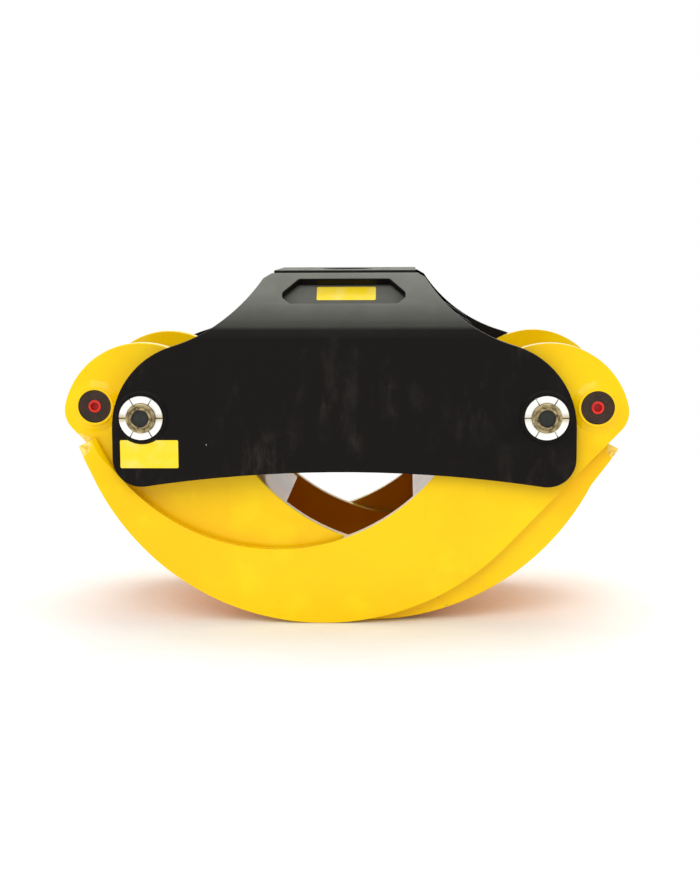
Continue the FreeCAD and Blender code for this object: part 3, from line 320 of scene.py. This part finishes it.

# %% [markdown]
# The frame is satin black. Its upright faces show soft upright scuffs and a few bright nicks. Its sloping
# shoulders turn grey-green with blotchy dust and a painted sheen of the sky, so the share of this dust and
# sheen follows the way a face looks, from the Normal output of the texture coordinates, and grows from the
# bend up to the head. The weld rings get the same black with hardly any of it, because on a round bead the
# rule by direction alone would draw a pale crescent.

# %% Satin black
BLACK = (0.0042, 0.0030, 0.0026)
BLACK_SCUFFED = (0.027, 0.023, 0.019)
BEND_Z = -80 * MM
SHOULDER_RISE = 55 * MM
# The grey-green of the sloping shoulders: dust together with a painted sheen of the sky.
DUST_AND_SKY_SHEEN = (0.30, 0.31, 0.265)
NICK = (0.55, 0.52, 0.47)


def satin_black(name, most_dust_and_sheen):
    paint = Finish(name, IOR=1.2)
    clouds = paint.noise(7.0, 6.0, 0.62)
    scuffs = paint.noise(38.0, 6.0, 0.66, paint.stretched((1.0, 1.0, 0.34)))
    worn = paint.ease(clouds, 0.42, 0.72) * paint.ease(scuffs, 0.46, 0.7)
    colour = paint.mix(worn, BLACK, BLACK_SCUFFED)
    blotches = paint.noise(22.0, 5.0, 0.6)
    _, _, height = paint.axes()
    # Dust and painted sky sheen on faces that look up, growing from the bend up to the head.
    dust_and_sheen_rise = paint.ease(height, BEND_Z, BEND_Z + SHOULDER_RISE, 0.3, 1.0)
    dust_and_sheen = paint.ease(paint.upward(), 0.36, 0.56, 0.0, most_dust_and_sheen) * (0.72 + 0.45 * blotches) * dust_and_sheen_rise
    colour = paint.mix(dust_and_sheen, colour, DUST_AND_SKY_SHEEN)
    nicks = paint.ease(paint.cells(46.0, paint.stretched((1.6, 1.6, 0.7))), 0.055, 0.03)
    nicks = nicks * paint.ease(paint.noise(5.5, 3.0), 0.54, 0.6)
    colour = paint.mix(nicks, colour, NICK)
    paint.feed("Base Color", colour)
    paint.feed("Roughness", 0.40 + 0.22 * scuffs + 0.12 * dust_and_sheen)
    paint.bump(paint.noise(300.0, 3.0) * 0.3 + scuffs * 0.3 - nicks, 0.0006, 0.4)
    return paint


keep("frame_paint", satin_black("satin_black", 0.46))
# The same black with hardly any dust or painted sheen, for the weld rings.
LOW_SHEEN_BLACK = satin_black("low_sheen_satin_black", 0.06)
print("finish:", LOW_SHEEN_BLACK.material.name)

# %% [markdown]
# Bright zinc covers the slit sleeves. Their faces are turned on a lathe, and the fine circular grooves
# throw a warm fan of reflection to each side of the middle. That fan is a painted reflection in the colour,
# so the finish measures the distance and the direction from each pin's axis. The nuts have yellowed, with
# dark rings about the pin.

# %% Zinc, turned about each pin
ZINC = (0.93, 0.92, 0.88)
ZINC_FAN_REFLECTION = (0.50, 0.38, 0.16)
NUT_YELLOWED = (0.52, 0.43, 0.22)
NUT_STAINED = (0.20, 0.16, 0.08)
NUT_DARK_RING = (0.035, 0.028, 0.018)
GROOVE_PITCH = 0.6 * MM
NUT_PITCH = 2.4 * MM


def about_pin(paint, pin_x, pin_z):
    """Distance from a pin's axis, and how level the direction from it is, from 0 to 1."""
    x, _, z = paint.axes()
    side = x.size() - pin_x
    rise = z - pin_z
    distance = (side * side + rise * rise) ** 0.5
    return distance, (rise / distance).size()


def turned_zinc(name, pin_x, pin_z):
    metal = Finish(name, Metallic=1.0)
    distance, steep = about_pin(metal, pin_x, pin_z)
    # The warm fan on each side of the middle is a painted reflection of the turned grooves.
    painted_fan = metal.ease(steep, 0.34, 0.02, 0.0, 0.75) * metal.ease(metal.noise(21.0, 3.0), 0.34, 0.6, 0.35, 1.0)
    grooves = (distance * 2 * math.pi / GROOVE_PITCH).sine()
    metal.feed("Base Color", metal.mix(painted_fan, ZINC, ZINC_FAN_REFLECTION))
    metal.feed("Roughness", 0.34 + 0.14 * metal.noise(90.0, 4.0) - 0.05 * grooves)
    metal.bump(grooves, 0.00003, 0.5)
    return metal


def nut_zinc(name, pin_x, pin_z):
    """Yellowed zinc with dark rings about the pin."""
    metal = Finish(name, Metallic=0.85)
    distance, steep = about_pin(metal, pin_x, pin_z)
    stain = metal.ease(metal.noise(120.0, 4.0), 0.38, 0.66)
    # Dark rings about the pin, at the same pitch as the bump.
    rings = metal.ease((distance * 2 * math.pi / NUT_PITCH).sine(), 0.2, 0.95, 0.0, 0.55)
    colour = metal.mix(stain, NUT_YELLOWED, NUT_STAINED)
    metal.feed("Base Color", metal.mix(rings, colour, NUT_DARK_RING))
    metal.feed("Roughness", 0.36 + 0.2 * stain)
    metal.bump(rings, 0.0002, 0.5)
    return metal


keep("zinc", turned_zinc("turned_zinc", PIVOT_X, PIVOT_Z))
NUT = nut_zinc("yellowed_zinc", PIVOT_X, PIVOT_Z)
print("finish:", NUT.material.name)

# %% [markdown]
# The pins are dark oiled steel with turning rings on their ends. The stub pins' threaded ends have a tan
# chamfer round a rough black core, as the plating takes differently on a sawn face. Light specks on the
# core are painted glints.

# %% Pin steel
PIN_BROWN = (0.060, 0.030, 0.017)
PIN_DARK = (0.022, 0.015, 0.011)
TAN = (0.46, 0.35, 0.17)
CORE = (0.035, 0.037, 0.033)
CORE_GLINT = (0.16, 0.17, 0.15)
RING_PITCH = 3.1 * MM
CORE_EDGE = 13.6 * MM
CORE_FULL = 12.4 * MM


def pin_steel(name, pin_x, pin_z):
    metal = Finish(name, Metallic=0.6)
    distance, _ = about_pin(metal, pin_x, pin_z)
    rings = (distance * 2 * math.pi / RING_PITCH).sine()
    oil = metal.noise(55.0, 5.0, 0.6)
    colour = metal.mix(metal.ease(oil + 0.16 * rings, 0.38, 0.66), PIN_DARK, PIN_BROWN)
    metal.feed("Base Color", colour)
    metal.feed("Roughness", 0.42 + 0.16 * oil)
    metal.bump(rings * 0.6 + oil * 0.4, 0.00025, 0.6)
    return metal


def stud_steel(name, pin_x, pin_z):
    metal = Finish(name, Metallic=0.7)
    distance, _ = about_pin(metal, pin_x, pin_z)
    grain = metal.noise(700.0, 4.0, 0.7)
    core = metal.ease(distance, CORE_EDGE, CORE_FULL)
    rim = metal.mix(metal.ease(metal.noise(140.0, 3.0), 0.35, 0.65), TAN, PIN_BROWN)
    # Light specks on the sawn core: painted glints.
    painted_glints = metal.ease(grain, 0.56, 0.72, 0.0, 0.5)
    metal.feed("Base Color", metal.mix(core, rim, metal.mix(painted_glints, CORE, CORE_GLINT)))
    metal.feed("Roughness", 0.38 + 0.3 * core)
    metal.bump(grain * core, 0.0009, 0.8)
    return metal


keep("pin_steel", pin_steel("oiled_pin_steel", CLAW_PINS["right"].x, CLAW_PINS["right"].z))
STUD = stud_steel("sawn_stud_steel", PIVOT_X, PIVOT_Z)
print("finish:", STUD.material.name)

# %% [markdown]
# The small finishes follow: bronze bushes, hard chrome on the rod, machined steel inside the cylinder,
# gloss black on its tube, red plastic plugs and dark polyurethane seals. Each has a little variation of
# colour and roughness at its own scale.


# %% Small finishes
def plain_metal(name, base, dark, roughness, scale, bump):
    metal = Finish(name, Metallic=1.0)
    cloud = metal.noise(scale, 4.0)
    brushed = metal.noise(scale * 6, 4.0, 0.6, metal.stretched((0.15, 1, 1)))
    metal.feed("Base Color", metal.mix(metal.ease(cloud, 0.35, 0.7), base, dark))
    metal.feed("Roughness", roughness + 0.12 * brushed)
    metal.bump(brushed, bump, 0.4)
    return metal


def moulded(name, base, dark, roughness, scale):
    plastic = Finish(name, IOR=1.46)
    cloud = plastic.noise(scale, 4.0)
    plastic.feed("Base Color", plastic.mix(plastic.ease(cloud, 0.35, 0.7), base, dark))
    plastic.feed("Roughness", roughness + 0.15 * cloud)
    plastic.bump(plastic.noise(scale * 8, 3.0), 0.0003, 0.4)
    return plastic


keep("bronze", plain_metal("bronze", (0.55, 0.34, 0.13), (0.36, 0.2, 0.07), 0.3, 40.0, 0.0001))
keep("rod_chrome", plain_metal("hard_chrome", (0.80, 0.81, 0.82), (0.66, 0.67, 0.69), 0.06, 12.0, 0.00002))
keep("steel", plain_metal("machined_steel", (0.42, 0.41, 0.39), (0.30, 0.29, 0.27), 0.3, 30.0, 0.0001))
keep("cylinder_paint", moulded("gloss_black", (0.014, 0.0135, 0.013), (0.03, 0.028, 0.026), 0.2, 18.0))
keep("plug_red", moulded("red_plastic", (0.78, 0.022, 0.008), (0.6, 0.012, 0.006), 0.32, 120.0))
keep("seal", moulded("polyurethane", (0.02, 0.02, 0.021), (0.035, 0.034, 0.033), 0.5, 60.0))

# %% [markdown]
# Every solid has a slot in the record, so one loop hands out the finishes. The stub pins, the nuts and the
# weld rings have finishes of their own within their slots. The solids keep their shape; only the material
# on each is new.

# %% Finishes onto the solids
SLOTS = {part["node"]: part["material_slot"] for part in frame["record"]["subparts"]}


def wear(piece, material):
    piece.data.materials.clear()
    piece.data.materials.append(material)


for node, solid in frame["nodes"].items():
    wear(solid, FINISHES[SLOTS[node]])
    if node.startswith("pivot_pin"):
        wear(solid, STUD.material)
    if node.endswith("pin_nuts"):
        wear(solid, NUT.material)
    if "weld" in node:
        wear(solid, LOW_SHEEN_BLACK.material)
print("solids dressed:", len(SLOTS))

# %% [markdown]
# Plate that has been cut and blasted has no knife edges. A copy of each plate's mesh is merged, its flat
# faces are joined back into single faces, and the sharp edges get a small round. The round is what
# catches the light along every edge.

# %% Eased plates
EASE = {"frame": 1.3 * MM, "left_claw": 1.5 * MM, "right_claw": 1.5 * MM, "barrel": 0.8 * MM,
        "rod": 0.8 * MM, "link": 1.0 * MM}
SHARP = math.radians(32)


def body_of(node):
    return next(body for body, nodes in frame["record"]["behaviour"]["bodies"].items() if node in nodes)


def finish_piece(name, mesh, body, slot):
    """Puts a finished mesh in the scene, on its body and in its slot."""
    mesh.shade_smooth()
    mesh.set_sharp_from_angle(angle=math.radians(24))
    piece = bpy.data.objects.new(name, mesh)
    bpy.context.scene.collection.objects.link(piece)
    wear(piece, FINISHES[slot])
    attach(piece, body)
    return piece


def eased(node):
    """A copy of a solid with its sharp edges rounded; it stands for the solid."""
    body = body_of(node)
    mesh = frame["nodes"][node].data.copy()
    shape = bmesh.new()
    shape.from_mesh(mesh)
    bmesh.ops.remove_doubles(shape, verts=shape.verts, dist=1e-6)
    bmesh.ops.dissolve_limit(shape, angle_limit=math.radians(0.4), verts=shape.verts, edges=shape.edges)
    sharp = [edge for edge in shape.edges if len(edge.link_faces) == 2 and edge.calc_face_angle() > SHARP]
    bmesh.ops.bevel(shape, geom=sharp, offset=EASE[body], offset_type="OFFSET", segments=2, profile=0.5,
                    affect="EDGES", material=-1, clamp_overlap=True)
    shape.to_mesh(mesh)
    shape.free()
    mesh.name = node + "_eased"
    piece = finish_piece(node + "_eased", mesh, body, SLOTS[node])
    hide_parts(node)
    return piece


PLATES = [node for node in SLOTS if node.endswith(("_plate", "_rib", "_lining", "_shell", "_blade"))
          or node.startswith(("web_", "inner_cheek", "slot_tray", "sync_link"))]
for node in PLATES:
    plate = eased(node)
    # The shell, the back plates and the linings wear the painted-shade copy of the enamel.
    if node.endswith(("_shell", "_back_plate", "_lining")):
        wear(plate, SHADED_ENAMEL.material)
print("eased plates:", len(PLATES))

# %% [markdown]
# Two blank patches of yellow vinyl are stuck to the frame, one below the left pivot and one in the head
# slot. A patch could be painted into the steel's finish, but real film stands a little proud and catches
# the light at its border. So each is a small grid whose corners are rounded and which is pulled up by the
# film's thickness. One is placed from the pivot, the other from the bend of the plate.

# %% Vinyl patches
SLOPE = math.sqrt(0.5)
FILM = 0.4 * MM
PATCH_GAP = 0.1 * MM
PATCH_CORNER = 2 * MM
VINYL_YELLOW = (0.93, 0.68, 0.012)
VINYL_FADED = (0.93, 0.78, 0.33)

vinyl = Finish("yellow_vinyl", IOR=1.4)
faded = vinyl.ease(vinyl.noise(45.0, 5.0), 0.42, 0.7, 0.0, 0.28)
vinyl.feed("Base Color", vinyl.mix(faded, VINYL_YELLOW, VINYL_FADED))
vinyl.feed("Roughness", 0.3 + 0.2 * vinyl.noise(80.0, 3.0))
vinyl.bump(vinyl.noise(160.0, 3.0), 0.0002, 0.4)


def vinyl_patch(name, centre, outward, size, node):
    """A thin blank patch on a frame face that looks along outward; its long side lies along X."""
    width, height = size
    turn = Vector((0, 0, 1)).rotation_difference(Vector(outward)).to_matrix().to_4x4()
    shape = bmesh.new()
    bmesh.ops.create_grid(shape, x_segments=1, y_segments=1, size=0.5)
    bmesh.ops.scale(shape, verts=shape.verts, vec=(width, height, 1))
    bmesh.ops.bevel(shape, geom=shape.verts[:], offset=PATCH_CORNER, segments=4, profile=0.5,
                    affect="VERTICES", material=-1)
    raised = bmesh.ops.extrude_face_region(shape, geom=shape.faces[:])["geom"]
    film = [item for item in raised if isinstance(item, bmesh.types.BMVert)]
    bmesh.ops.translate(shape, verts=film, vec=(0, 0, FILM))
    bmesh.ops.recalc_face_normals(shape, faces=shape.faces)
    bmesh.ops.transform(shape, matrix=Matrix.Translation(centre) @ turn, verts=shape.verts)
    mesh = bpy.data.meshes.new(name)
    shape.to_mesh(mesh)
    shape.free()
    piece = finish_piece(name, mesh, body_of(node), SLOTS[node])
    wear(piece, vinyl.material)


FACE_PATCH_SIZE = (87 * MM, 42 * MM)
FACE_PATCH_INBOARD = 10.5 * MM
FACE_PATCH_BELOW_PIVOT = 54.8 * MM
TRAY_PATCH_SIZE = (89 * MM, 27 * MM)
TRAY_PATCH_X = 3 * MM
TRAY_FLOOR = -17 * MM
UP_SLOPE = 81 * MM

face_x = FACE_PATCH_INBOARD - PIVOT_X
face_spot = Vector((face_x, FRONT_FACE - PATCH_GAP, PIVOT_Z - FACE_PATCH_BELOW_PIVOT))
vinyl_patch("face_patch", face_spot, (0, -1, 0), FACE_PATCH_SIZE, "frame_front_plate")

slope_out = Vector((0, -SLOPE, SLOPE))
tray_spot = Vector((TRAY_PATCH_X, FRONT_FACE + UP_SLOPE * SLOPE, BEND_Z + UP_SLOPE * SLOPE))
tray_spot += slope_out * (TRAY_FLOOR + PATCH_GAP)
vinyl_patch("slot_patch", tray_spot, slope_out, TRAY_PATCH_SIZE, "slot_tray_front")
print("vinyl patches: 2, film", FILM)

# %% [markdown]
# The floor is a pale groundsheet. It fades out away from the grapple, so that it meets the white
# surroundings with no line, and keeps the soft shadow under the claws.

# %% Floor
FLOOR_REACH = 9.0
FLOOR_GAP = 0.5 * MM
FADE_START = 0.55
FADE_END = 1.9
SHEET_PALE = (0.93, 0.93, 0.92)
SHEET_STAINED = (0.84, 0.80, 0.74)

floor_shape = bmesh.new()
bmesh.ops.create_grid(floor_shape, x_segments=1, y_segments=1, size=FLOOR_REACH)
bmesh.ops.translate(floor_shape, verts=floor_shape.verts, vec=(0, 0, FLOOR_Z - FLOOR_GAP))
floor_mesh = bpy.data.meshes.new("floor")
floor_shape.to_mesh(floor_mesh)
floor_shape.free()
floor = bpy.data.objects.new("floor", floor_mesh)
bpy.context.scene.collection.objects.link(floor)
sheet = Finish("groundsheet", Roughness=0.7)
stains = sheet.ease(sheet.noise(3.0, 6.0), 0.4, 0.75, 0.0, 0.35)
sheet.feed("Base Color", sheet.mix(stains, SHEET_PALE, SHEET_STAINED))
across, along, _ = sheet.axes()
far = (across * across + along * along) ** 0.5
sheet.feed("Alpha", sheet.ease(far, FADE_START, FADE_END, 1.0, 0.0))
sheet.bump(sheet.noise(6.0, 5.0), 0.02, 0.4)
wear(floor, sheet.material)
print("floor at", round(FLOOR_Z, 4))

# %% [markdown]
# The light is that of a white overcast day: a bright world all round, a wide soft lamp above and behind
# for the upper edges, and a weaker one in front so that the upright faces stay clear.

# %% Overcast world
world = bpy.data.worlds.new("overcast")
bpy.context.scene.world = world
world.use_nodes = True
sky = world.node_tree.nodes["Background"]
sky.inputs["Color"].default_value = (1.0, 1.0, 1.0, 1.0)
SKY_ON_OBJECT = 0.85


def brightest(first, second):
    """The larger of two sockets in the world's tree."""
    node = world.node_tree.nodes.new("ShaderNodeMath")
    node.operation = "MAXIMUM"
    world.node_tree.links.new(first, node.inputs[0])
    world.node_tree.links.new(second, node.inputs[1])
    return node.outputs[0]


rays = world.node_tree.nodes.new("ShaderNodeLightPath").outputs
seen = brightest(brightest(rays["Is Camera Ray"], rays["Is Glossy Ray"]), rays["Is Transmission Ray"])
level = world.node_tree.nodes.new("ShaderNodeMapRange")
level.inputs["To Min"].default_value = SKY_ON_OBJECT
world.node_tree.links.new(seen, level.inputs["Value"])
world.node_tree.links.new(level.outputs["Result"], sky.inputs["Strength"])
print("sky on the object:", SKY_ON_OBJECT, "and 1 where it is seen or mirrored")

# %% [markdown]
# A world alone gives flat light, so two large area lamps add some direction. Each is turned towards the
# pivots by the tracking quaternion of the line from the lamp to its aim.

# %% Lamps


def lamp(name, place, aim, size, watts):
    data = bpy.data.lights.new(name, "AREA")
    data.size = size
    data.energy = watts
    light = bpy.data.objects.new(name, data)
    light.location = place
    light.rotation_euler = (Vector(aim) - Vector(place)).to_track_quat("-Z", "Y").to_euler()
    bpy.context.scene.collection.objects.link(light)


lamp("sky_lamp", (0.2, 0.9, 2.6), (0, 0, PIVOT_Z), 2.6, 55)
lamp("front_lamp", (-0.5, -2.8, 1.9), (0, 0, PIVOT_Z), 2.2, 40)
print("lamps: 2")

# %% [markdown]
# The camera stands in front, a little above the frame's head, and looks slightly down. Its lens is given
# for a sensor whose long side is the upright one.

# %% Camera
camera_data = bpy.data.cameras.new("camera")
camera_data.sensor_width = 36.0
camera_data.lens = 65.1
camera = bpy.data.objects.new("camera", camera_data)
camera.location = (0.094, -2.50, 0.059)
camera.rotation_euler = (math.radians(90 - 7.38), math.radians(0.24), math.radians(2.05))
bpy.context.scene.collection.objects.link(camera)
bpy.context.scene.camera = camera
bpy.context.scene.view_settings.view_transform = "Standard"
print("camera at", [round(v, 3) for v in camera.location])
